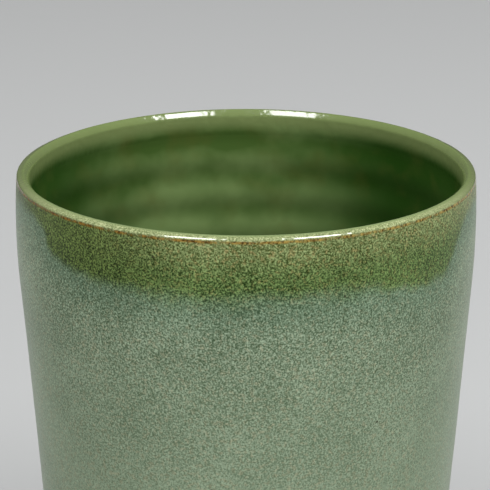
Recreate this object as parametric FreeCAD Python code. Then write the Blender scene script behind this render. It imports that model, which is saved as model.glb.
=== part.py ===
import FreeCAD, Part
import math
import os

# A wheel-thrown stoneware brush pot: a slightly tapered open cylinder on a turned foot ring.
# One thrown and fired clay body carries four glaze coats, each a separate thin solid:
#   liner_glaze        poured inside, from the floor up to the line of the rim dip
#   outer_glaze        dipped outside, from the glaze line over the foot up to the rim dip
#   rim_glaze          the second dip, over the lip: deep outside and shallow inside
#   foot_recess_glaze  brushed into the recess inside the foot ring
# Millimetres. +Z is up, the pot's axis is Z, and the foot ring rests on z = 0 with the origin
# at its centre. Every section is turned about the axis.

# ---- overall ----
height = 120.0  # table to the crest of the lip
rim_radius = 50.0  # outside of the lip, where its round edge begins

# ---- wall, measured over the glaze ----
wall_taper_deg = 4.3  # lean of the straight part of the wall
turn_in = 1.64  # how far the top of the wall comes in from that straight line
turn_in_height = 24.0  # height over which it does so
heel_draw = 1.2  # how far the bottom of the wall draws in from the straight line
heel_height = 14.0  # height over which it does so

# ---- clay ----
wall_at_lip = 2.3  # thickness of the clay wall under the lip
wall_at_heel = 4.6  # and at the bottom
floor_thickness = 5.0  # clay between the inside floor and the foot recess
floor_dish = 0.6  # the floor is this much lower at its centre than at its edge
corner_radius = 8.0  # inside, where the wall meets the floor
ring_pitch = 8.6  # height of one throwing ring on the inside wall
ring_depth = 0.45  # groove to ridge, in the clay
ring_levelling = 0.75  # share of that depth which still shows through the liner

# ---- lip, measured over the glaze ----
lip_edge_radius = 0.7  # round outer edge
lip_edge_drop = 1.0  # crest down to where that edge begins
lip_lean_deg = 20.0  # the top rises inward from the edge to the crest at this slope
crest_radius = 0.6  # tight crest
roll_radius = 3.0  # broad roll on the inside of the crest
roll_from_deg = 35.0  # slope of the roll where it leaves the crest
roll_to_deg = 60.0  # and where it ends
neck_radius = 1.2  # the turn from the roll into the wall
lip_slope_deg = 4.0  # lean of the wall under that turn
lip_height = 5.0  # crest to where the throwing rings begin

# ---- foot ring, bare clay ----
foot_bevel_in = 1.9  # the bevel under the glaze line comes in by this much
foot_bevel_height = 4.6  # and starts this high above the rounded edge of the foot
foot_edge = 0.7  # round edges of the foot ring
foot_width = 5.6  # across the ring, edge to edge
recess_depth = 3.2  # foot face up to the bare recess
recess_slope = 1.0  # the recess wall leans in by this much

# ---- glaze ----
coat = 0.40  # every coat of the wall
recess_coat = 0.30  # the coat in the foot recess
recess_coat_margin = 1.2  # bare clay left round it
rim_dip = 12.5  # depth of the second dip below the crest, outside
rim_dip_inside = 6.0  # and inside, where trapped air kept the glaze out

# ---- places worked out from the sizes above ----
glaze_line_z = foot_edge + foot_bevel_height
shoulder_z = height - lip_edge_drop
turn_in_z = shoulder_z - turn_in_height
heel_z = glaze_line_z + heel_height
cone_slope = math.tan(math.radians(wall_taper_deg))
lip_foot_z = height - lip_height
floor_z = recess_depth + floor_thickness + coat
corner_z = floor_z + floor_dish + corner_radius


def wall_radius(z):
    """Outside of the glazed wall: a straight cone, turned in at the top and drawn in at the heel."""
    radius = rim_radius + turn_in - cone_slope * (shoulder_z - z)
    if z > turn_in_z:
        radius -= turn_in * ((z - turn_in_z) / turn_in_height) ** 2
    if z < heel_z:
        radius -= heel_draw * ((heel_z - z) / heel_height) ** 2
    return radius


def bore_radius(z):
    """Inside of the glazed wall, without its throwing rings. The clay thickens towards the floor."""
    share = (lip_foot_z - z) / (lip_foot_z - corner_z)
    clay = wall_at_lip + (wall_at_heel - wall_at_lip) * share
    return wall_radius(z) - clay - 2 * coat


def point(radius, z):
    return FreeCAD.Vector(radius, 0, z)


def line(start, end):
    return Part.LineSegment(start, end).toShape()


def arc(start, middle, end):
    return Part.Arc(start, middle, end).toShape()


def turned(edges):
    """The solid made by turning a closed outline about the pot's axis."""
    outline = Part.Wire(Part.__sortEdges__(edges))
    return Part.Face(outline).revolve(point(0, 0), FreeCAD.Vector(0, 0, 1), 360)


def piece_holding(spot, solids):
    """The one solid that holds a point."""
    return next(solid for solid in solids if solid.isInside(spot, 0.001, True))


def outside_edges(inset):
    """Outside of the wall, glaze line to shoulder, moved in by inset: heel, cone, turned-in top."""
    def stretch(low, high):
        return [point(wall_radius(z) - inset, z) for z in (low, (low + high) / 2, high)]

    cone = stretch(heel_z, turn_in_z)
    heel = arc(*stretch(glaze_line_z, heel_z))
    top = arc(*stretch(turn_in_z, shoulder_z))
    return [heel, line(cone[0], cone[2]), top]


def rounded(centre, radius, start_deg, end_deg):
    """Start, middle and end of an arc about a centre, by the angle above the outward level."""
    spots = []
    for degrees in (start_deg, (start_deg + end_deg) / 2, end_deg):
        angle = math.radians(degrees)
        spots.append(centre + point(radius * math.cos(angle), radius * math.sin(angle)))
    return spots


def carried_on(centre, radius, next_radius, degrees):
    """Centre of the next arc of a smooth outline, which takes over from this one at an angle."""
    angle = math.radians(degrees)
    reach = radius - next_radius
    return centre + point(reach * math.cos(angle), reach * math.sin(angle))


def lip_edges(inset):
    """The lip, all tangent: outer edge, leaning top, crest, inner roll, neck, then the wall."""
    top_deg = 90.0 - lip_lean_deg
    top_out = math.cos(math.radians(top_deg))
    top_up = math.sin(math.radians(top_deg))
    edge_centre = point(rim_radius - lip_edge_radius, shoulder_z)
    crest_rise = height - crest_radius - shoulder_z
    crest_in = (crest_radius - lip_edge_radius + crest_rise * top_up) / top_out
    crest_centre = edge_centre + point(-crest_in, crest_rise)
    roll_deg, neck_deg, wall_deg = 90.0 + roll_from_deg, 90.0 + roll_to_deg, 180.0 - lip_slope_deg
    roll_centre = carried_on(crest_centre, crest_radius, roll_radius, roll_deg)
    neck_centre = carried_on(roll_centre, roll_radius, neck_radius, neck_deg)
    edge = rounded(edge_centre, lip_edge_radius - inset, 0.0, top_deg)
    crest = rounded(crest_centre, crest_radius - inset, top_deg, roll_deg)
    roll = rounded(roll_centre, roll_radius - inset, roll_deg, neck_deg)
    neck = rounded(neck_centre, neck_radius - inset, neck_deg, wall_deg)
    bottom = point(bore_radius(lip_foot_z) + inset, lip_foot_z)
    chord = bottom - neck[2]
    chord_lean = math.atan2(-chord.x, -chord.z)
    bulge = chord.Length / 2 * math.tan((math.radians(lip_slope_deg) - chord_lean) / 2)
    inward = FreeCAD.Vector(chord.z, 0, -chord.x).normalize()
    middle = (neck[2] + bottom) / 2 + inward * bulge
    over_crest = [arc(*edge), line(edge[2], crest[0]), arc(*crest)]
    return over_crest + [arc(*roll), arc(*neck), arc(neck[2], middle, bottom)]


def bore_edges(inset, depth):
    """The inside of the wall with its throwing rings, each one a groove and a ridge of arcs."""
    halves = 2 * max(1, round((lip_foot_z - corner_z) / ring_pitch))
    step = (lip_foot_z - corner_z) / halves
    edges = []
    for index in range(halves):
        high = lip_foot_z - index * step
        side = 1 if index % 2 == 0 else -1
        start = point(bore_radius(high) + inset, high)
        middle = point(bore_radius(high - step / 2) + inset + side * depth / 2, high - step / 2)
        edges.append(arc(start, middle, point(bore_radius(high - step) + inset, high - step)))
    return edges


def floor_edges(inset):
    """The rounded corner inside, then the floor: a shallow dish centred on the axis."""
    radius = corner_radius + inset
    diagonal = radius * math.sqrt(0.5)
    wall = point(bore_radius(corner_z) + inset, corner_z)
    knee = point(wall.x - radius + diagonal, corner_z - diagonal)
    edge = point(wall.x - radius, corner_z - radius)
    middle = point(0, floor_z - inset)
    dish_radius = (edge.x ** 2 + floor_dish ** 2) / (2 * floor_dish)
    half_out = edge.x / 2
    halfway = point(half_out, middle.z + dish_radius - math.sqrt(dish_radius ** 2 - half_out ** 2))
    return [arc(wall, knee, edge), arc(edge, halfway, middle)]


def inside_edges(inset, depth):
    return lip_edges(inset) + bore_edges(inset, depth) + floor_edges(inset)


# ---- the thrown body: bare clay under the coats, and the turned foot ring ----
clay_surface = outside_edges(coat) + inside_edges(coat, ring_depth)
clay_floor = point(0, recess_depth + floor_thickness)
glaze_line = point(wall_radius(glaze_line_z) - coat, glaze_line_z)
foot_outer = glaze_line.x - foot_bevel_in
foot_inner = foot_outer - foot_width
recess_radius = foot_inner - recess_slope
recess_centre = point(0, recess_depth)
recess_rim = point(recess_radius, recess_depth)
round_off = foot_edge * (1 - math.sqrt(0.5))
outer_edge = [
    point(foot_outer, foot_edge),
    point(foot_outer - round_off, round_off),
    point(foot_outer - foot_edge, 0),
]
inner_edge = [
    point(foot_inner + foot_edge, 0),
    point(foot_inner + round_off, round_off),
    point(foot_inner, foot_edge),
]
foot_surface = [
    line(glaze_line, outer_edge[0]),
    arc(*outer_edge),
    line(outer_edge[2], inner_edge[0]),
    arc(*inner_edge),
    line(inner_edge[2], recess_rim),
    line(recess_rim, recess_centre),
]
stoneware_body = turned(clay_surface + foot_surface + [line(recess_centre, clay_floor)])

# ---- the coats of the wall: one skin over the clay, parted where the rim dip ends ----
glaze_surface = outside_edges(0) + inside_edges(0, ring_depth * ring_levelling)
glaze_ends = [
    line(glaze_line, point(wall_radius(glaze_line_z), glaze_line_z)),
    line(clay_floor, point(0, floor_z)),
]
skin = turned(glaze_surface + clay_surface + glaze_ends)
dip_z = height - rim_dip
mid_wall = (wall_radius(dip_z) + bore_radius(dip_z)) / 2
dip = Part.makeCylinder(2 * rim_radius, rim_dip, point(0, dip_z))
trapped_air = Part.makeCylinder(mid_wall, rim_dip - rim_dip_inside, point(0, dip_z))
dip = dip.cut(trapped_air)
below_dip = skin.cut(dip).Solids
rim_glaze = skin.common(dip)
liner_glaze = piece_holding(point(0, floor_z - coat / 2), below_dip)
outer_glaze = piece_holding(point(wall_radius(heel_z) - coat / 2, heel_z), below_dip)

# ---- the coat in the foot recess, with a softened edge ----
recess_disc = Part.makeCylinder(
    recess_radius - recess_coat_margin, recess_coat, point(0, recess_depth - recess_coat)
)
soft_edges = [edge for edge in recess_disc.Edges if edge.BoundBox.ZMax < recess_depth - recess_coat / 2]
foot_recess_glaze = recess_disc.makeChamfer(recess_coat / 2, soft_edges)

nodes = {
    "stoneware_body": stoneware_body,
    "outer_glaze": outer_glaze,
    "rim_glaze": rim_glaze,
    "liner_glaze": liner_glaze,
    "foot_recess_glaze": foot_recess_glaze,
}
os.makedirs("parts", exist_ok=True)
for name, shape in nodes.items():
    shape.exportStep(f"parts/{name}.step")
    box = shape.optimalBoundingBox(False)
    sizes = [round(size, 2) for size in (box.ZMin, box.ZMax, box.XLength, box.YLength)]
    print(name, shape.isValid(), len(shape.Solids), "volume", round(shape.Volume, 1), "z, across", sizes)
print("foot ring", round(foot_inner + foot_edge, 3), "to", round(foot_outer - foot_edge, 3))
print("bore", round(bore_radius(lip_foot_z), 3), "to", round(bore_radius(corner_z), 3), "at", corner_z)
print("corner", round(bore_radius(corner_z) - corner_radius, 3), "floor", floor_z, "lip foot", lip_foot_z)
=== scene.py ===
import math

import bpy
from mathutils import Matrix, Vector


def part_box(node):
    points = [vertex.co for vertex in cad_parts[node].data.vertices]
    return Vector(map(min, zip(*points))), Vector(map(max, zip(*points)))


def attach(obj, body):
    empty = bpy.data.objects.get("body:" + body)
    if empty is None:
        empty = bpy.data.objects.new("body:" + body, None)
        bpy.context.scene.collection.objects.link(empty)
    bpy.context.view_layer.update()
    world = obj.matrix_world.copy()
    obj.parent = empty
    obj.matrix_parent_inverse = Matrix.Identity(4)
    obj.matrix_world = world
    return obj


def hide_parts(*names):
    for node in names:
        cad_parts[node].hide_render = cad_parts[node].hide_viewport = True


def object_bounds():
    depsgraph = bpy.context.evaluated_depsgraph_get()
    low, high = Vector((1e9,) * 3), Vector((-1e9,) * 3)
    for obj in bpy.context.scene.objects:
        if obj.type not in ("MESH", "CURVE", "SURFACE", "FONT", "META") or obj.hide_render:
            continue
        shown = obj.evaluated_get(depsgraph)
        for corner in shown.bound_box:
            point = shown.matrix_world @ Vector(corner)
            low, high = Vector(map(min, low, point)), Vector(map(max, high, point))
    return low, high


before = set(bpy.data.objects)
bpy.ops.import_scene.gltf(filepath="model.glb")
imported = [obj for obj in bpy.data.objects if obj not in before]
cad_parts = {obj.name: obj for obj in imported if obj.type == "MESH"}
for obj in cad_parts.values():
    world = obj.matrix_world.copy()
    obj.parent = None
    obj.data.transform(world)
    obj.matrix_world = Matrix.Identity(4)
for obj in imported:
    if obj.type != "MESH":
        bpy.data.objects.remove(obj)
cad_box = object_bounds()


# ---- Thrown body -------------------------------------------------------------------------
# The pot itself: iron-bearing stoneware clay, thrown on the wheel as one thin-walled cylinder,
# then turned upside down and trimmed to leave a foot ring. It is bare only at the foot.

# The pot's sizes are in millimetres, with the table at 0, and throw() makes them metres.
mm = 0.001
height = cad_box[1].z / mm
rim_radius = 50.0
wall_slope = math.tan(math.radians(4.3))
# Under the lip the wall turns in by this much over this height, and at the heel it draws in.
turn_in = 1.64
turn_in_height = 24.0
heel_draw = 1.2
heel_height = 14.0
wall_at_lip = 2.3
wall_at_heel = 4.6
coat = 0.4
ring_pitch = 8.6
ring_depth = 0.45
shoulder_z = height - 1.0
turn_in_z = shoulder_z - turn_in_height
lip_foot_z = height - 5.0
glaze_line_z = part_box("outer_glaze")[0].z / mm
heel_z = glaze_line_z + heel_height
recess_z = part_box("foot_recess_glaze")[1].z / mm
floor_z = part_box("liner_glaze")[0].z / mm + coat
floor_dish = 0.6
corner_radius = 8.0
corner_z = floor_z + floor_dish + corner_radius


def wall_radius(z):
    """Outside of the glazed wall: a cone, turned in at the top and drawn in at the heel."""
    radius = rim_radius + turn_in - wall_slope * (shoulder_z - z)
    if z > turn_in_z:
        radius -= turn_in * ((z - turn_in_z) / turn_in_height) ** 2
    if z < heel_z:
        radius -= heel_draw * ((heel_z - z) / heel_height) ** 2
    return radius


def bore_radius(z):
    """Inside of the glazed wall, with no rings: the clay is thicker towards the floor."""
    share = (lip_foot_z - z) / (lip_foot_z - corner_z)
    return wall_radius(z) - wall_at_lip - (wall_at_heel - wall_at_lip) * share - 2 * coat


def spaced(start, end, gap):
    """Even steps from start to end, as near to the gap as a whole number of them comes."""
    count = max(1, round(abs(end - start) / gap))
    return [start + (end - start) * step / count for step in range(count + 1)]


def rounded(centre, radius, start_deg, end_deg, gap_deg):
    """Points on an arc about a centre, by the angle above the outward level."""
    across, up = centre
    angles = [math.radians(degrees) for degrees in spaced(start_deg, end_deg, gap_deg)]
    return [(across + radius * math.cos(angle), up + radius * math.sin(angle)) for angle in angles]


def outside_line(inset, low, high, gap):
    """The outside wall from a low point to a high one, set in from the glaze's surface."""
    return [(wall_radius(z) - inset, z) for z in spaced(low, high, gap)]


def bore_line(inset, depth, high, low, gap):
    """The inside wall with its throwing rings, which the potter's fingertips leave as they rise."""
    line = []
    for z in spaced(high, low, gap):
        ring = depth / 2 * math.sin(2 * math.pi * (lip_foot_z - z) / ring_pitch)
        line.append((bore_radius(z) + inset + ring, z))
    return line


def carried_on(centre, radius, next_radius, degrees):
    """Centre of the next arc of a smooth outline, which takes over from this one at an angle."""
    reach = radius - next_radius
    angle = math.radians(degrees)
    return centre[0] + reach * math.cos(angle), centre[1] + reach * math.sin(angle)


def lip_line(inset, gap_deg):
    """The lip, all tangent: outer edge, leaning top, crest, inner roll, neck, then the wall."""
    edge_radius, crest_radius, roll_radius, neck_radius = 0.7, 0.6, 3.0, 1.2
    top_deg, roll_deg, neck_deg, wall_deg = 70.0, 125.0, 150.0, 176.0
    top_out, top_up = math.cos(math.radians(top_deg)), math.sin(math.radians(top_deg))
    edge_centre = (rim_radius - edge_radius, shoulder_z)
    rise = height - crest_radius - shoulder_z
    crest_in = (crest_radius - edge_radius + rise * top_up) / top_out
    crest_centre = (edge_centre[0] - crest_in, edge_centre[1] + rise)
    roll_centre = carried_on(crest_centre, crest_radius, roll_radius, roll_deg)
    neck_centre = carried_on(roll_centre, roll_radius, neck_radius, neck_deg)
    edge = rounded(edge_centre, edge_radius - inset, 0.0, top_deg, gap_deg)
    crest = rounded(crest_centre, crest_radius - inset, top_deg, roll_deg, gap_deg)
    roll = rounded(roll_centre, roll_radius - inset, roll_deg, neck_deg, gap_deg / 2)
    neck = rounded(neck_centre, neck_radius - inset, neck_deg, wall_deg, gap_deg)
    start, end = neck[-1], (bore_radius(lip_foot_z) + inset, lip_foot_z)
    half = (start[1] - end[1]) / 2
    bend = (start[0] - half * math.tan(math.radians(180.0 - wall_deg)), start[1] - half)
    slope = []
    slope_gap = gap_deg / 60.0
    for share in spaced(0.0, 1.0, slope_gap)[1:-1]:
        pulls = (((1 - share) ** 2, start), (2 * share * (1 - share), bend), (share ** 2, end))
        slope.append((sum(pull * at[0] for pull, at in pulls), sum(pull * at[1] for pull, at in pulls)))
    return edge + crest + roll[1:] + neck[1:] + slope


def floor_line(inset, gap):
    """The rounded corner inside, then the dished floor, to the axis."""
    degrees_in_a_mm = 7.0
    radius = corner_radius + inset
    out = bore_radius(corner_z) + inset - radius
    corner = rounded((out, corner_z), radius, 0.0, -90.0, gap * degrees_in_a_mm)
    floor = [(r, floor_z - inset + floor_dish * (r / out) ** 2) for r in spaced(out, 0.0, gap)]
    return corner + floor[1:]


# No thrown pot is quite round: every piece is pushed sideways by the same two slow wobbles.
wobble_span = 0.45 * mm
wobbles = {}
for axis, spread in (("X", 45.0), ("Y", 58.0)):
    wobbles[axis] = bpy.data.textures.new("hand_wobble_" + axis, "CLOUDS")
    wobbles[axis].noise_scale = spread * mm
    wobbles[axis].noise_depth = 1


def throw(name, outline):
    """A piece turned on the wheel: its section is drawn point by point, spun and then wobbled."""
    turns = 256
    bpy.ops.object.select_all(action="DESELECT")
    bpy.ops.mesh.primitive_plane_add(size=mm)
    piece = bpy.context.object
    piece.name = piece.data.name = name
    bpy.ops.object.mode_set(mode="EDIT")
    bpy.ops.mesh.merge(type="CENTER")
    bpy.ops.transform.translate(value=(outline[0][0] * mm, 0, outline[0][1] * mm))
    for (radius, z), (next_radius, next_z) in zip(outline, outline[1:]):
        step = {"value": ((next_radius - radius) * mm, 0, (next_z - z) * mm)}
        bpy.ops.mesh.extrude_vertices_move(TRANSFORM_OT_translate=step)
    bpy.ops.mesh.select_all(action="SELECT")
    bpy.ops.mesh.spin(steps=turns, angle=2 * math.pi, center=(0, 0, 0), axis=(0, 0, 1))
    bpy.ops.mesh.select_all(action="SELECT")
    bpy.ops.mesh.remove_doubles(threshold=0.003 * mm)
    bpy.ops.mesh.delete_loose(use_verts=True, use_edges=True, use_faces=False)
    bpy.ops.mesh.select_all(action="SELECT")
    bpy.ops.mesh.normals_make_consistent(inside=False)
    bpy.ops.object.mode_set(mode="OBJECT")
    bpy.ops.object.shade_smooth_by_angle(angle=math.radians(40))
    for axis, field in wobbles.items():
        wobble = piece.modifiers.new("wobble", "DISPLACE")
        wobble.texture = field
        wobble.texture_coords = "LOCAL"
        wobble.direction = axis
        wobble.mid_level = 0.5
        wobble.strength = wobble_span
        bpy.ops.object.modifier_apply(modifier=wobble.name)
    return piece


def finish_piece(piece, node):
    """Every piece of the pot rides on its one body, and stands for one CAD node."""
    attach(piece, "root")
    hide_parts(node)


# The foot ring, with the marks of the trimming tool in the recess.
foot_bevel = 1.9
foot_outer = wall_radius(glaze_line_z) - coat - foot_bevel
foot_edge = 0.7
foot_width = 5.6
foot_inner = foot_outer - foot_width
recess_bevel = 1.0
recess_radius = foot_inner - recess_bevel
recess_drop = 0.1
edge_gap_deg = 15.0
trim_gap = 0.3
trim_depth = 0.04
trim_radians_in_a_mm = 4.2
foot_line = (
    [(0.0, recess_z)]
    + [(r, recess_z - trim_depth * math.sin(trim_radians_in_a_mm * r))
       for r in spaced(trim_gap, recess_radius - trim_gap, trim_gap)]
    + [(recess_radius, recess_z - recess_drop)]
    + rounded((foot_inner + foot_edge, foot_edge), foot_edge, 180.0, 270.0, edge_gap_deg)
    + rounded((foot_outer - foot_edge, foot_edge), foot_edge, 270.0, 360.0, edge_gap_deg)
)

# Under the glaze the clay is out of sight, so its outline has wider gaps there.
hidden_wall_gap = 3.0
hidden_lip_deg = 20.0
hidden_bore_gap = 1.5
hidden_floor_gap = 2.0
clay_line = (
    foot_line
    + outside_line(coat, glaze_line_z, shoulder_z, hidden_wall_gap)
    + lip_line(coat, hidden_lip_deg)[1:]
    + bore_line(coat, ring_depth, lip_foot_z, corner_z, hidden_bore_gap)
    + floor_line(coat, hidden_floor_gap)[1:]
)
body = throw("thrown_body", clay_line)
finish_piece(body, "stoneware_body")


def hex_colour(code):
    """A colour written as sRGB hex, made linear."""
    linear = []
    for start in (0, 2, 4):
        part = int(code[start:start + 2], 16) / 255
        linear.append(part / 12.92 if part <= 0.04045 else ((part + 0.055) / 1.055) ** 2.4)
    return (*linear, 1.0)


def add(tree, kind, inputs=None, **settings):
    """One node with its settings. A node given as an input stands for its first output."""
    made = tree.nodes.new(kind)
    for name, value in settings.items():
        setattr(made, name, value)
    live = [socket for socket in made.inputs if socket.enabled]
    for key, value in (inputs or {}).items():
        socket = live[key] if isinstance(key, int) else next(one for one in live if one.name == key)
        if isinstance(value, bpy.types.Node):
            value = next(one for one in value.outputs if one.enabled)
        if isinstance(value, bpy.types.NodeSocket):
            tree.links.new(value, socket)
        else:
            socket.default_value = value
    return made


def start_material(name):
    """An empty material, and the point being shaded in millimetres: whole, and as x, y and z."""
    made = bpy.data.materials.new(name)
    made.use_nodes = True
    tree = made.node_tree
    tree.nodes.clear()
    place = add(tree, "ShaderNodeTexCoord").outputs["Object"]
    point = add(tree, "ShaderNodeMapping", {"Vector": place, "Scale": (1 / mm, 1 / mm, 1 / mm)})
    return made, tree, point, add(tree, "ShaderNodeSeparateXYZ", {"Vector": point}).outputs


# Bare stoneware, fired to about 1250 degrees: dry and matt to the eye, biscuit brown, with a sandy
# grain of 0.35 mm grog, iron specks, and a toasted orange flush where the glaze ends above it.
clay, tree, point, (x, y, z) = start_material("bare_stoneware")
grog_size = 0.35
grain = add(tree, "ShaderNodeTexNoise", {"Vector": point, "Scale": 1 / grog_size, "Detail": 3.0})
grain_share = add(tree, "ShaderNodeMapRange", {"Value": grain, "From Min": 0.35, "From Max": 0.65})
biscuit = add(tree, "ShaderNodeMix", {"Factor": grain_share, "A": hex_colour("9c7a58"),
              "B": hex_colour("b99a76")}, data_type="RGBA")
flush_size = 9.0
flush_patches = add(tree, "ShaderNodeTexNoise", {"Vector": point, "Scale": 1 / flush_size, "Detail": 2.0})
flush_height = add(tree, "ShaderNodeMapRange", {"Value": z, "From Min": 1.5,
                   "From Max": glaze_line_z}, interpolation_type="SMOOTHSTEP")
flush = add(tree, "ShaderNodeMath", {0: flush_patches, 1: flush_height}, operation="MULTIPLY")
toasted = add(tree, "ShaderNodeMix", {"Factor": flush, "A": biscuit, "B": hex_colour("8a4f2a")},
              data_type="RGBA")
speck_spacing = 2.6
specks = add(tree, "ShaderNodeTexVoronoi", {"Vector": point, "Scale": 1 / speck_spacing})
speck_share = add(tree, "ShaderNodeMapRange", {"Value": specks, "From Min": 0.10, "From Max": 0.17,
                  "To Min": 0.9, "To Max": 0.0})
clay_colour = add(tree, "ShaderNodeMix", {"Factor": speck_share, "A": toasted,
                  "B": hex_colour("3b261b")}, data_type="RGBA")
sandy = add(tree, "ShaderNodeBump", {"Height": grain, "Strength": 0.6, "Distance": 0.06 * mm})
shader = add(tree, "ShaderNodeBsdfPrincipled", {"Base Color": clay_colour, "Roughness": 0.85,
             "IOR": 1.5, "Normal": sandy})
add(tree, "ShaderNodeOutputMaterial", {"Surface": shader})
body.data.materials.append(clay)


# ---- Liner glaze -------------------------------------------------------------------------
# The coat of the well: celadon, a feldspar glaze coloured green by iron. It is poured into the
# biscuit-fired pot, swirled over the floor and wall and poured out, then melts onto the clay.
dip_inside_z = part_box("liner_glaze")[1].z / mm
seen_wall_gap = 0.8
seen_floor_gap = 1.0
# The glaze partly fills the throwing rings, so they are shallower in its surface than in the clay.
glaze_ring_depth = ring_depth * 0.75
liner_front = (
    bore_line(0.0, glaze_ring_depth, dip_inside_z, corner_z, seen_wall_gap)
    + floor_line(0.0, seen_floor_gap)[1:]
)
liner_back = (
    bore_line(coat, ring_depth, dip_inside_z, corner_z, hidden_bore_gap)
    + floor_line(coat, hidden_floor_gap)[1:]
)
liner = throw("liner_coat", liner_front + liner_back[::-1] + liner_front[:1])
finish_piece(liner, "liner_glaze")


def well_celadon(tree, point, z):
    """The colour of the glaze in the well. It is deeper where it pooled in the throwing rings."""
    ring_radians = 2 * math.pi / ring_pitch
    ring_sway = 4.0
    turns_down = add(tree, "ShaderNodeMath", {0: z, 1: -ring_radians, 2: ring_radians * lip_foot_z},
                     operation="MULTIPLY_ADD")
    sway_size = 22.0
    sway = add(tree, "ShaderNodeTexNoise", {"Vector": point, "Scale": 1 / sway_size, "Detail": 1.0})
    phase = add(tree, "ShaderNodeMath", {0: sway, 1: ring_sway, 2: turns_down}, operation="MULTIPLY_ADD")
    centred = add(tree, "ShaderNodeMath", {0: phase, 1: ring_sway / 2}, operation="SUBTRACT")
    ring = add(tree, "ShaderNodeMath", {0: centred}, operation="SINE")
    cloud_size = 14.0
    clouds = add(tree, "ShaderNodeTexNoise", {"Vector": point, "Scale": 1 / cloud_size, "Detail": 3.0,
                 "Roughness": 0.55})
    ring_strength = 0.11
    ringed = add(tree, "ShaderNodeMath", {0: ring, 1: ring_strength, 2: clouds}, operation="MULTIPLY_ADD")
    deeper = add(tree, "ShaderNodeMapRange", {"Value": z, "From Min": height - 34.0,
                 "From Max": height - 10.0, "To Min": -0.24, "To Max": 0.10})
    pooling = add(tree, "ShaderNodeMath", {0: ringed, 1: deeper})
    share = add(tree, "ShaderNodeMapRange", {"Value": pooling, "From Min": 0.28, "From Max": 0.72})
    green = add(tree, "ShaderNodeMix", {"Factor": share, "A": hex_colour("637747"),
                "B": hex_colour("3a5023")}, data_type="RGBA")

    # Painted shade: the well is darkened to a deep bottle green everywhere except on the far wall, just
    # left of its middle, which is left paler as if lit from the front.
    unshaded_towards = (-0.19, 0.982, 0.0)
    bearing = add(tree, "ShaderNodeVectorMath", {0: point, 1: unshaded_towards}, operation="DOT_PRODUCT")
    painted_shade = add(tree, "ShaderNodeMapRange", {"Value": bearing, "From Min": 24.0, "From Max": 51.0,
                "To Min": 0.95, "To Max": 0.0}, interpolation_type="SMOOTHSTEP")
    with_painted_shade = add(tree, "ShaderNodeMix", {"Factor": painted_shade, "A": green, "B": hex_colour("1a390b")},
                   data_type="RGBA")
    iron_size = 8.0
    iron_clouds = add(tree, "ShaderNodeTexNoise", {"Vector": point, "Scale": 1 / iron_size,
                      "Detail": 3.0})
    iron = add(tree, "ShaderNodeMapRange", {"Value": iron_clouds, "From Min": 0.5, "From Max": 0.75,
               "To Max": 0.35})
    return add(tree, "ShaderNodeMix", {"Factor": iron, "A": with_painted_shade, "B": hex_colour("4c4e22")},
               data_type="RGBA")


# Celadon lying thick in the well: bottle green and softly glossy, with slow ripples in its skin,
# and darker where it ran into the rings. Most of the well is darkened further by painted shade,
# all but the far wall.
celadon_well, tree, point, (x, y, z) = start_material("thick_celadon_in_the_well")
colour = well_celadon(tree, point, z)
ripple_size = 3.5
ripple = add(tree, "ShaderNodeTexNoise", {"Vector": point, "Scale": 1 / ripple_size, "Detail": 1.0})
skin = add(tree, "ShaderNodeBump", {"Height": ripple, "Strength": 0.5, "Distance": 0.05 * mm})
shader = add(tree, "ShaderNodeBsdfPrincipled", {"Base Color": colour, "Roughness": 0.28,
             "IOR": 1.5, "Specular IOR Level": 0.3, "Normal": skin})
add(tree, "ShaderNodeOutputMaterial", {"Surface": shader})
liner.data.materials.append(celadon_well)


# ---- Outer glaze -------------------------------------------------------------------------
# The coat of the outside wall: the same celadon, into which the pot is dipped, and then fused on
# in the kiln. It stops above the foot, where it ran down a little and set in a round bead.
dip_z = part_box("rim_glaze")[0].z / mm
bead_height = 0.55
bead_swell = 0.22
bead_reach = 1.1


def glaze_bead(z):
    """Outside of the glaze near its lower edge, where it swells and then closes in a round bead."""
    up = z - glaze_line_z
    thickness = coat + bead_swell * math.exp(-((up / bead_reach) ** 2))
    if up < bead_height:
        thickness *= math.sqrt(max(0.0, 1 - (1 - up / bead_height) ** 2))
    return wall_radius(z) - coat + thickness


bead_top_z = glaze_line_z + 4.0
bead_gap = 0.3
bead_rises = [bead_height * (1 - math.cos(math.radians(degrees))) for degrees in range(10, 91, 10)]
outer_front = (
    [(glaze_bead(glaze_line_z + up), glaze_line_z + up) for up in bead_rises]
    + [(glaze_bead(z), z) for z in spaced(glaze_line_z + bead_height, bead_top_z, bead_gap)[1:]]
    + outside_line(0.0, bead_top_z, dip_z, seen_wall_gap)[1:]
)
outer_back = outside_line(coat, glaze_line_z, dip_z, hidden_wall_gap)
outer = throw("outer_coat", outer_front + outer_back[::-1] + outer_front[:1])
finish_piece(outer, "outer_glaze")


# How deep the second dip runs below the shoulder, by the angle round the pot from the front.
dip_depths = (
    (-180, 8.5), (-150, 10.0), (-120, 7.0), (-95, 9.0), (-72, 2.5), (-61, 3.2), (-54, 8.5), (-44, 10.6),
    (-25, 12.2), (-12, 12.8), (0, 12.4), (22, 12.2), (36, 13.0), (46, 14.6), (52, 14.3), (58, 11.5),
    (65, 6.0), (75, 3.5), (100, 7.5), (130, 11.0), (155, 9.0), (180, 8.5),
)


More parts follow.
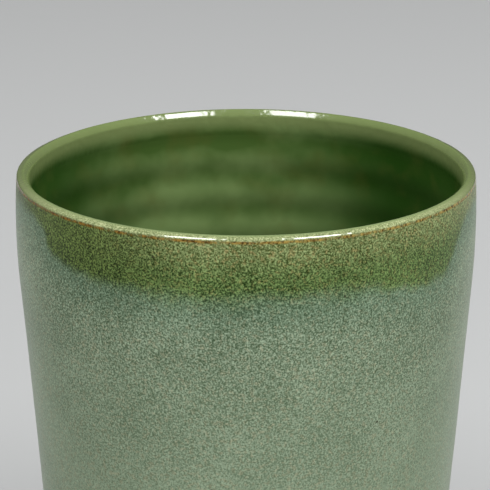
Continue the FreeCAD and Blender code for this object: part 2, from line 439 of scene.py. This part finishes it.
def second_dip(tree, point, places):
    """Where the wall was dipped twice: the angle round it, the depth, and the way past the edge."""
    x, y, z = places
    deepest_dip = 15.0
    front = add(tree, "ShaderNodeMath", {0: y, 1: -1.0}, operation="MULTIPLY")
    angle = add(tree, "ShaderNodeMath", {0: x, 1: front}, operation="ARCTAN2")
    turn = add(tree, "ShaderNodeMapRange", {"Value": angle, "From Min": -math.pi, "From Max": math.pi})
    curve = add(tree, "ShaderNodeFloatCurve", {"Value": turn})
    points = curve.mapping.curves[0].points
    for degrees, depth in dip_depths[1:-1]:
        points.new(degrees / 360 + 0.5, depth / deepest_dip)
    points[0].location = (0.0, dip_depths[0][1] / deepest_dip)
    points[len(points) - 1].location = (1.0, dip_depths[-1][1] / deepest_dip)
    curve.mapping.update()
    below = add(tree, "ShaderNodeMath", {0: z, 1: -1.0, 2: shoulder_z}, operation="MULTIPLY_ADD")
    edge = add(tree, "ShaderNodeMath", {0: curve, 1: -deepest_dip, 2: below}, operation="MULTIPLY_ADD")
    ragged_size = 5.0
    ragged_span = 5.0
    ragged = add(tree, "ShaderNodeTexNoise", {"Vector": point, "Scale": 1 / ragged_size, "Detail": 3.0})
    past = add(tree, "ShaderNodeMath", {0: ragged, 1: ragged_span, 2: edge}, operation="MULTIPLY_ADD")
    past_edge = add(tree, "ShaderNodeMath", {0: past, 1: ragged_span / 2}, operation="SUBTRACT")
    return angle, below, past_edge


def glaze_drops(tree, point, past_edge):
    """The pale drops in the glaze, which melt together further down, and which of them are tan."""
    drop_size = 0.36
    speckle = add(tree, "ShaderNodeTexNoise", {"Vector": point, "Scale": 1 / drop_size, "Detail": 2.0,
                  "Roughness": 0.5})
    mottle_size = 16.0
    mottle_strength = 0.18
    mottle = add(tree, "ShaderNodeTexNoise", {"Vector": point, "Scale": 1 / mottle_size, "Detail": 3.0,
                 "Roughness": 0.5})
    moved = add(tree, "ShaderNodeMath", {0: mottle, 1: mottle_strength, 2: speckle},
                operation="MULTIPLY_ADD")
    sharp = add(tree, "ShaderNodeMapRange", {"Value": moved, "From Min": 0.405, "From Max": 0.775})
    melting = add(tree, "ShaderNodeMapRange", {"Value": past_edge, "From Min": 8.0, "From Max": 45.0,
                  "To Max": 0.5})
    melted = 0.68
    evened = add(tree, "ShaderNodeMix", {"Factor": melting, "A": sharp, "B": melted}, data_type="FLOAT")
    ground_share = 1.4
    drops = add(tree, "ShaderNodeMath", {0: evened, 1: ground_share}, operation="POWER")
    tan_size = 0.8
    tan_drops = add(tree, "ShaderNodeTexNoise", {"Vector": point, "Scale": 1 / tan_size, "Detail": 1.0})
    tan_share = add(tree, "ShaderNodeMapRange", {"Value": tan_drops, "From Min": 0.50, "From Max": 0.68})
    return drops, tan_share


def wall_celadon(tree, point, places):
    """The glaze outside: its colour, and its drops for the surface."""
    angle, below, past_edge = second_dip(tree, point, places)

    # The edge of the second dip is soft at the front and sharper at the sides.
    sideways = add(tree, "ShaderNodeMath", {0: angle}, operation="ABSOLUTE")
    side = add(tree, "ShaderNodeMapRange", {"Value": sideways, "From Min": math.radians(15),
               "From Max": math.radians(45)}, interpolation_type="SMOOTHSTEP")
    softness = add(tree, "ShaderNodeMapRange", {"Value": side, "To Min": 3.2, "To Max": 1.6})
    scaled = add(tree, "ShaderNodeMath", {0: past_edge, 1: softness}, operation="DIVIDE")
    dip = add(tree, "ShaderNodeMapRange", {"Value": scaled, "From Min": -1.0, "From Max": 1.0,
              "To Min": 1.0, "To Max": 0.0}, interpolation_type="SMOOTHSTEP")

    # One coat: grey green, and a little bluer in a halo just below the second dip.
    drops, tan_share = glaze_drops(tree, point, past_edge)
    wall_tint = add(tree, "ShaderNodeMix", {"Factor": tan_share, "A": hex_colour("99aa90"),
                    "B": hex_colour("a3a68a")}, data_type="RGBA")
    one_coat = add(tree, "ShaderNodeMix", {"Factor": drops, "A": hex_colour("40533a"),
                   "B": wall_tint}, data_type="RGBA")
    halo = add(tree, "ShaderNodeMapRange", {"Value": past_edge, "From Min": 0.0, "From Max": 11.0,
               "To Min": 1.0, "To Max": 0.0}, interpolation_type="SMOOTHSTEP")
    blued = add(tree, "ShaderNodeMix", {"Factor": halo, "A": one_coat, "B": hex_colour("d8e4e0")},
                data_type="RGBA", blend_type="MULTIPLY")

    # Two coats: olive, and paler in a strip under the lip, from which the glaze ran down.
    dip_tint = add(tree, "ShaderNodeMix", {"Factor": tan_share, "A": hex_colour("728b52"),
                   "B": hex_colour("7f8550")}, data_type="RGBA")
    two_coats = add(tree, "ShaderNodeMix", {"Factor": drops, "A": hex_colour("112601"),
                    "B": dip_tint}, data_type="RGBA")
    strip = add(tree, "ShaderNodeMapRange", {"Value": below, "From Min": 0.5, "From Max": 9.0,
                "To Min": 0.8, "To Max": 0.0}, interpolation_type="SMOOTHSTEP")
    strip_tint = add(tree, "ShaderNodeMix", {"Factor": tan_share, "A": hex_colour("97a473"),
                     "B": hex_colour("a19567")}, data_type="RGBA")
    pale_strip = add(tree, "ShaderNodeMix", {"Factor": drops, "A": hex_colour("3a4416"),
                     "B": strip_tint}, data_type="RGBA")
    thinned = add(tree, "ShaderNodeMix", {"Factor": strip, "A": two_coats, "B": pale_strip},
                  data_type="RGBA")

    # From the front round the whole left side the second coat is painted darker, deep green: painted
    # shade on the side away from the stronger light.
    left_shade_share = add(tree, "ShaderNodeMapRange", {"Value": angle, "From Min": math.radians(-8),
                     "From Max": math.radians(-44), "To Max": 0.85}, interpolation_type="SMOOTHSTEP")
    left_shade = add(tree, "ShaderNodeMix", {"Factor": drops, "A": hex_colour("081601"),
               "B": hex_colour("6b8040")}, data_type="RGBA")
    left_shaded = add(tree, "ShaderNodeMix", {"Factor": left_shade_share, "A": thinned, "B": left_shade},
                 data_type="RGBA")
    glaze = add(tree, "ShaderNodeMix", {"Factor": dip, "A": blued, "B": left_shaded}, data_type="RGBA")

    # A few specks of iron melted through from the clay.
    iron_spacing = 8.0
    iron = add(tree, "ShaderNodeTexVoronoi", {"Vector": point, "Scale": 1 / iron_spacing})
    iron_share = add(tree, "ShaderNodeMapRange", {"Value": iron, "From Min": 0.025, "From Max": 0.045,
                     "To Min": 0.85, "To Max": 0.0})
    colour = add(tree, "ShaderNodeMix", {"Factor": iron_share, "A": glaze, "B": hex_colour("2a2a16")},
                 data_type="RGBA")
    return colour, drops


# Celadon on the outside wall: satin, grey green, broken into pale drops of about 0.4 mm over a
# darker ground. Where the pot was dipped twice it is olive, and the drops stand out more.
celadon_wall, tree, point, places = start_material("satin_celadon_on_the_wall")
colour, drops = wall_celadon(tree, point, places)
skin = add(tree, "ShaderNodeBump", {"Height": drops, "Strength": 0.25, "Distance": 0.02 * mm})
shader = add(tree, "ShaderNodeBsdfPrincipled", {"Base Color": colour, "Roughness": 0.32,
             "IOR": 1.5, "Specular IOR Level": 0.15, "Normal": skin})
add(tree, "ShaderNodeOutputMaterial", {"Surface": shader})
outer.data.materials.append(celadon_wall)


# ---- Rim glaze ---------------------------------------------------------------------------
# The coat over the lip: the pot is held lip down and dipped once more in the same celadon, which
# reaches further down the outside than the inside and melts into the two coats it meets.
shoulder_gap = 0.6
lip_gap_deg = 5.0
neck_gap = 0.5
hidden_neck_gap = 1.0
rim_front = (
    outside_line(0.0, dip_z, shoulder_z, shoulder_gap)
    + lip_line(0.0, lip_gap_deg)[1:]
    + bore_line(0.0, glaze_ring_depth, lip_foot_z, dip_inside_z, neck_gap)
)
rim_back = (
    outside_line(coat, dip_z, shoulder_z, hidden_wall_gap)
    + lip_line(coat, hidden_lip_deg)[1:]
    + bore_line(coat, ring_depth, lip_foot_z, dip_inside_z, hidden_neck_gap)
)
rim = throw("rim_coat", rim_front + rim_back[::-1] + rim_front[:1])
finish_piece(rim, "rim_glaze")

# Celadon on the lip: it ran off the crest while it was molten, so it is thin and straw green there,
# and on the sharpest edge the iron of the clay breaks through in a rust line.
celadon_lip, tree, point, places = start_material("thin_celadon_on_the_lip")
x, y, z = places
outside, drops = wall_celadon(tree, point, places)
inside = well_celadon(tree, point, z)
level = add(tree, "ShaderNodeVectorMath", {0: point, 1: (1, 1, 0)}, operation="MULTIPLY")
radius = add(tree, "ShaderNodeVectorMath", {0: level}, operation="LENGTH")
crest_radius_at = rim_radius - 1.1
over = add(tree, "ShaderNodeMapRange", {"Value": radius, "From Min": crest_radius_at - 0.2,
           "From Max": crest_radius_at + 0.2})

# The drops show in the thin glaze at the front of the lip, and fade round to the sides.
drops_at_front = add(tree, "ShaderNodeMapRange", {"Value": y, "From Min": -15.0, "From Max": -44.0,
                     "To Min": 0.35}, interpolation_type="SMOOTHSTEP")
lip_drops = add(tree, "ShaderNodeMix", {"Factor": drops_at_front, "A": 0.5, "B": drops},
                data_type="FLOAT")
speckled_straw = add(tree, "ShaderNodeMix", {"Factor": lip_drops, "A": hex_colour("5c6840"),
                     "B": hex_colour("a3aa7e")}, data_type="RGBA")
# Painted sheen: the lip is painted paler at the front than at its sides and back.
painted_front_sheen = add(tree, "ShaderNodeMapRange", {"Value": y, "From Min": -5.0, "From Max": -40.0},
               interpolation_type="SMOOTHSTEP")
straw = add(tree, "ShaderNodeMix", {"Factor": painted_front_sheen, "A": hex_colour("5f6a45"),
            "B": speckled_straw}, data_type="RGBA")
smooth_straw = add(tree, "ShaderNodeMix", {"Factor": painted_front_sheen, "A": hex_colour("657246"),
                   "B": hex_colour("77855a")}, data_type="RGBA")

# The straw colour comes in slowly up the inside of the lip and quickly over its outer edge.
thin_in = add(tree, "ShaderNodeMapRange", {"Value": z, "From Min": shoulder_z - 4.6,
              "From Max": shoulder_z - 1.2, "To Max": 0.85}, interpolation_type="SMOOTHSTEP")
inner_lip = add(tree, "ShaderNodeMix", {"Factor": thin_in, "A": inside, "B": smooth_straw},
                data_type="RGBA")
thin_out = add(tree, "ShaderNodeMapRange", {"Value": z, "From Min": shoulder_z - 0.3,
               "From Max": shoulder_z + 0.5}, interpolation_type="SMOOTHSTEP")
outer_lip = add(tree, "ShaderNodeMix", {"Factor": thin_out, "A": outside, "B": straw},
                data_type="RGBA")
thin_colour = add(tree, "ShaderNodeMix", {"Factor": over, "A": inner_lip, "B": outer_lip},
                  data_type="RGBA")

# The rust line runs along the outer edge of the lip, broken, and browner towards the left.
break_size = 2.5
breaks = add(tree, "ShaderNodeTexNoise", {"Vector": point, "Scale": 1 / break_size, "Detail": 4.0,
             "Roughness": 0.7})
rust_strength = add(tree, "ShaderNodeMapRange", {"Value": breaks, "From Min": 0.34, "From Max": 0.56})
rust_low = add(tree, "ShaderNodeMapRange", {"Value": z, "From Min": shoulder_z - 0.6,
               "From Max": shoulder_z - 0.15}, interpolation_type="SMOOTHSTEP")
rust_high = add(tree, "ShaderNodeMapRange", {"Value": z, "From Min": shoulder_z,
                "From Max": shoulder_z + 0.35, "To Min": 1.0, "To Max": 0.0},
                interpolation_type="SMOOTHSTEP")
rust_line = add(tree, "ShaderNodeMath", {0: rust_low, 1: rust_high}, operation="MULTIPLY")
rust_outside = add(tree, "ShaderNodeMath", {0: rust_line, 1: over}, operation="MULTIPLY")
rust_share = add(tree, "ShaderNodeMath", {0: rust_outside, 1: rust_strength}, operation="MULTIPLY")
rust_grain_size = 0.6
rust_grain = add(tree, "ShaderNodeTexNoise", {"Vector": point, "Scale": 1 / rust_grain_size,
                 "Detail": 2.0})
rust_tone = add(tree, "ShaderNodeMapRange", {"Value": rust_grain, "From Min": 0.36, "From Max": 0.60})
rightwards = add(tree, "ShaderNodeMapRange", {"Value": x, "From Min": -46.0, "From Max": 20.0})
rust_light = add(tree, "ShaderNodeMix", {"Factor": rightwards, "A": hex_colour("7d5414"),
                 "B": hex_colour("988344")}, data_type="RGBA")
rust = add(tree, "ShaderNodeMix", {"Factor": rust_tone, "A": hex_colour("3c2205"),
           "B": rust_light}, data_type="RGBA")
colour = add(tree, "ShaderNodeMix", {"Factor": rust_share, "A": thin_colour, "B": rust},
             data_type="RGBA")

# The crest is dented like hammered glass and far glossier than the walls on either side of it.
dent_size = 2.2
dents = add(tree, "ShaderNodeTexNoise", {"Vector": point, "Scale": 1 / dent_size, "Detail": 1.0})
skin = add(tree, "ShaderNodeBump", {"Height": dents, "Strength": 1.0, "Distance": 0.12 * mm})
wall_gloss = add(tree, "ShaderNodeMapRange", {"Value": z, "From Min": shoulder_z - 0.7,
                 "From Max": shoulder_z + 0.3, "To Min": 0.32, "To Max": 0.12})
well_gloss = add(tree, "ShaderNodeMapRange", {"Value": z, "From Min": shoulder_z - 0.5,
                 "From Max": shoulder_z, "To Min": 0.28, "To Max": 0.12},
                 interpolation_type="SMOOTHSTEP")
rough = add(tree, "ShaderNodeMix", {"Factor": over, "A": well_gloss, "B": wall_gloss},
            data_type="FLOAT")
inner_shine = add(tree, "ShaderNodeMapRange", {"Value": z, "From Min": shoulder_z - 0.25,
                  "From Max": shoulder_z + 0.1, "To Min": 0.2, "To Max": 0.8},
                  interpolation_type="SMOOTHSTEP")
outer_shine = add(tree, "ShaderNodeMapRange", {"Value": z, "From Min": shoulder_z - 0.1,
                  "From Max": shoulder_z + 0.3, "To Min": 0.1, "To Max": 0.8},
                  interpolation_type="SMOOTHSTEP")
shine = add(tree, "ShaderNodeMix", {"Factor": over, "A": inner_shine, "B": outer_shine},
            data_type="FLOAT")
shader = add(tree, "ShaderNodeBsdfPrincipled", {"Base Color": colour, "Roughness": rough,
             "IOR": 1.6, "Specular IOR Level": shine, "Normal": skin})
add(tree, "ShaderNodeOutputMaterial", {"Surface": shader})
rim.data.materials.append(celadon_lip)

# Below the lip's outer edge this coat is the same speckled glaze as the wall, with no seam.
rim.data.materials.append(celadon_wall)
lip_starts_z = shoulder_z - 0.4
for face in rim.data.polygons:
    middle = face.center / mm
    face.material_index = int(middle.z < lip_starts_z and math.hypot(*middle[:2]) > crest_radius_at)


# ---- Foot recess glaze -------------------------------------------------------------------
# The coat under the pot: celadon brushed into the hollow inside the foot ring and wiped thin with
# a sponge, so that it doesn't stick to the kiln shelf. It is fused to the clay like the others.
recess_coat = 0.3
disc_radius = recess_radius - 1.2
wipe_depth = 0.06
wipe_radians_in_a_mm = 2.1
disc_line = (
    [(0.0, recess_z - recess_coat)]
    + [(r, recess_z - recess_coat + wipe_depth / 2 * (1 - math.cos(wipe_radians_in_a_mm * r)))
       for r in spaced(0.0, disc_radius - recess_coat, trim_gap)[1:]]
    + rounded((disc_radius - recess_coat, recess_z), recess_coat, 270.0, 360.0, edge_gap_deg)[1:]
    + [(0.0, recess_z)]
)
disc = throw("recess_coat", disc_line)
finish_piece(disc, "foot_recess_glaze")

# Celadon wiped thin in the foot recess: milky and satin, so that the clay shows warm through it.
celadon_foot, tree, point, (x, y, z) = start_material("wiped_celadon_under_the_foot")
wipe_size = 6.0
wiped = add(tree, "ShaderNodeTexNoise", {"Vector": point, "Scale": 1 / wipe_size, "Detail": 4.0,
            "Roughness": 0.6})
wiped_share = add(tree, "ShaderNodeMapRange", {"Value": wiped, "From Min": 0.35, "From Max": 0.65})
milky = add(tree, "ShaderNodeMix", {"Factor": wiped_share, "A": hex_colour("7f8c68"),
            "B": hex_colour("9fb094")}, data_type="RGBA")
iron_spacing = 4.0
iron = add(tree, "ShaderNodeTexVoronoi", {"Vector": point, "Scale": 1 / iron_spacing})
iron_share = add(tree, "ShaderNodeMapRange", {"Value": iron, "From Min": 0.05, "From Max": 0.09,
                 "To Min": 0.85, "To Max": 0.0})
colour = add(tree, "ShaderNodeMix", {"Factor": iron_share, "A": milky, "B": hex_colour("33301c")},
             data_type="RGBA")
skin = add(tree, "ShaderNodeBump", {"Height": wiped, "Strength": 0.4, "Distance": 0.08 * mm})
shader = add(tree, "ShaderNodeBsdfPrincipled", {"Base Color": colour, "Roughness": 0.35,
             "IOR": 1.5, "Normal": skin})
add(tree, "ShaderNodeOutputMaterial", {"Surface": shader})
disc.data.materials.append(celadon_foot)


# ---- Floor -------------------------------------------------------------------------------
# A sheet of smooth matt card, pale grey, for the pot to stand on. It isn't part of the pot.
# Like the lamps and the camera, it is placed in metres.
bpy.ops.object.select_all(action="DESELECT")
bpy.ops.mesh.primitive_plane_add(size=2.1)
floor = bpy.context.object
floor.name = "floor"
card, tree = start_material("matt_card")[:2]
shader = add(tree, "ShaderNodeBsdfPrincipled", {"Base Color": hex_colour("9fa0a0"), "Roughness": 0.7})
add(tree, "ShaderNodeOutputMaterial", {"Surface": shader})
floor.data.materials.append(card)


# ---- Light -------------------------------------------------------------------------------
# Two long softboxes slope from above the pot down to its front, and only they are mirrored in the
# glaze. The rest is soft fill: a low window in front, a softbox behind on each side, a pale wall
# behind, and a dim room that looks pale to the camera.
world = bpy.data.worlds.new("room")
bpy.context.scene.world = world
world.use_nodes = True
world.node_tree.nodes.clear()
dim = add(world.node_tree, "ShaderNodeBackground", {"Color": hex_colour("ffffff"), "Strength": 0.06})
pale = add(world.node_tree, "ShaderNodeBackground", {"Color": hex_colour("c9cbcb"), "Strength": 1.0})
seen = add(world.node_tree, "ShaderNodeLightPath").outputs["Is Camera Ray"]
room = add(world.node_tree, "ShaderNodeMixShader", {0: seen, 1: dim, 2: pale})
add(world.node_tree, "ShaderNodeOutputWorld", {"Surface": room})


def softbox(name, centre, size, aim, watts, mirrored=False):
    """A rectangular lamp that faces a point. The camera doesn't see it, but glaze may mirror it."""
    bpy.ops.object.light_add(type="AREA", location=centre)
    lamp = bpy.context.object
    lamp.name = name
    lamp.data.shape = "RECTANGLE"
    lamp.data.size, lamp.data.size_y = size
    lamp.data.energy = watts
    lamp.visible_camera = False
    lamp.visible_glossy = mirrored
    lamp.rotation_euler = (Vector(aim) - Vector(centre)).to_track_quat("-Z", "Y").to_euler()


far_end = Vector((0.0, 0.15, 1.42))
near_end = Vector((0.0, -0.41, 0.57))
middle = (far_end + near_end) / 2
length = (far_end - near_end).length
facing = Vector((0.0, far_end.z - near_end.z, near_end.y - far_end.y)) / length
for side, inner_x, outer_x, watts in (("left", -0.112, -0.38, 9.0), ("right", 0.19, 0.50, 12.0)):
    centre = middle + Vector(((inner_x + outer_x) / 2, 0.0, 0.0))
    softbox(side + "_softbox", centre, size=(abs(outer_x - inner_x), length), aim=centre + facing,
            watts=watts, mirrored=True)
softbox("front_window", (0.2, -1.6, 0.5), size=(2.4, 0.9), aim=(0.0, 0.0, 0.1), watts=19.0)
for side, x in (("left", -1.7), ("right", 1.7)):
    softbox(side + "_back_softbox", (x, 1.3, 0.9), size=(1.2, 1.2), aim=(0.0, 0.0, 0.05), watts=24.0)
softbox("pale_wall_behind", (0.0, 2.2, 1.0), size=(4.0, 2.0), aim=(0.0, 0.0, 0.1), watts=7.0)


# ---- Camera ------------------------------------------------------------------------------
# Half a metre in front of the pot, looking down on it through a long lens, so that the whole lip
# and about the upper half of the wall fill the view.
looks_down = math.radians(18.26)
bpy.ops.object.camera_add(location=(-0.0003, -0.5, 0.267), rotation=(math.pi / 2 - looks_down, 0, 0))
camera = bpy.context.object
camera.data.sensor_width = 36.0
camera.data.lens = 175.5
bpy.context.scene.camera = camera
bpy.context.scene.view_settings.view_transform = "Standard"
